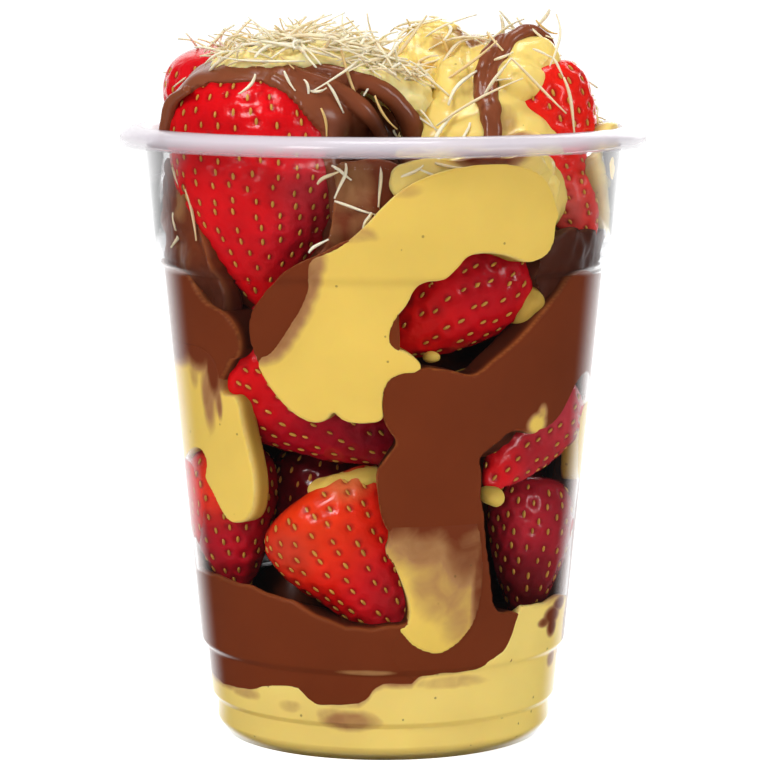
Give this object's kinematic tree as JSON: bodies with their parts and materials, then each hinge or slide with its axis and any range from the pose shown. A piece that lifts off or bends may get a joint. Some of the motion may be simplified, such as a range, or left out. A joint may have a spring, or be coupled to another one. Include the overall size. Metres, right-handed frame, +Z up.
{
  "type": "chocolate strawberry cup",
  "caption": "Clear plastic cup filled with whole strawberries, vanilla cream and chocolate cream in layers and folds, heaped over the rim and topped with pastry shreds.",
  "frame": {"origin": "Centre of the cup's foot, on the surface it stands on.", "axes": "+Z up along the cup's axis; the shown front faces -Y, with +X to its right."},
  "size_m": [0.098, 0.098, 0.1345],
  "materials": {
    "clear_plastic": "clear",
    "chocolate_cream": "soft gloss",
    "vanilla_cream": "satin",
    "strawberry": "glossy",
    "pastry_shreds": "matt"
  },
  "bodies": {
    "root": {"cup": "clear_plastic", "chocolate": "chocolate_cream", "chocolate_cap": "chocolate_cream", "chocolate_drizzle": "chocolate_cream", "cream_base": "vanilla_cream", "cream_fold_front": "vanilla_cream", "cream_streak_front": "vanilla_cream", "cream_left": "vanilla_cream", "cream_fold_back": "vanilla_cream", "cream_streak_back": "vanilla_cream", "cream_topping": "vanilla_cream", "shred_nest": "pastry_shreds", "berry_top_left": "strawberry", "berry_top_far_left": "strawberry", "berry_top_right": "strawberry", "berry_right_upper": "strawberry", "berry_centre": "strawberry", "berry_low_centre": "strawberry", "berry_low_left": "strawberry", "berry_low_inner": "strawberry", "berry_right_middle": "strawberry", "berry_low_right": "strawberry", "berry_back_1": "strawberry", "berry_back_2": "strawberry", "berry_back_3": "strawberry", "berry_back_4": "strawberry", "berry_back_5": "strawberry", "berry_back_6": "strawberry", "berry_back_7": "strawberry", "berry_back_8": "strawberry", "berry_back_9": "strawberry", "berry_back_10": "strawberry"}
  },
  "joints": []
}
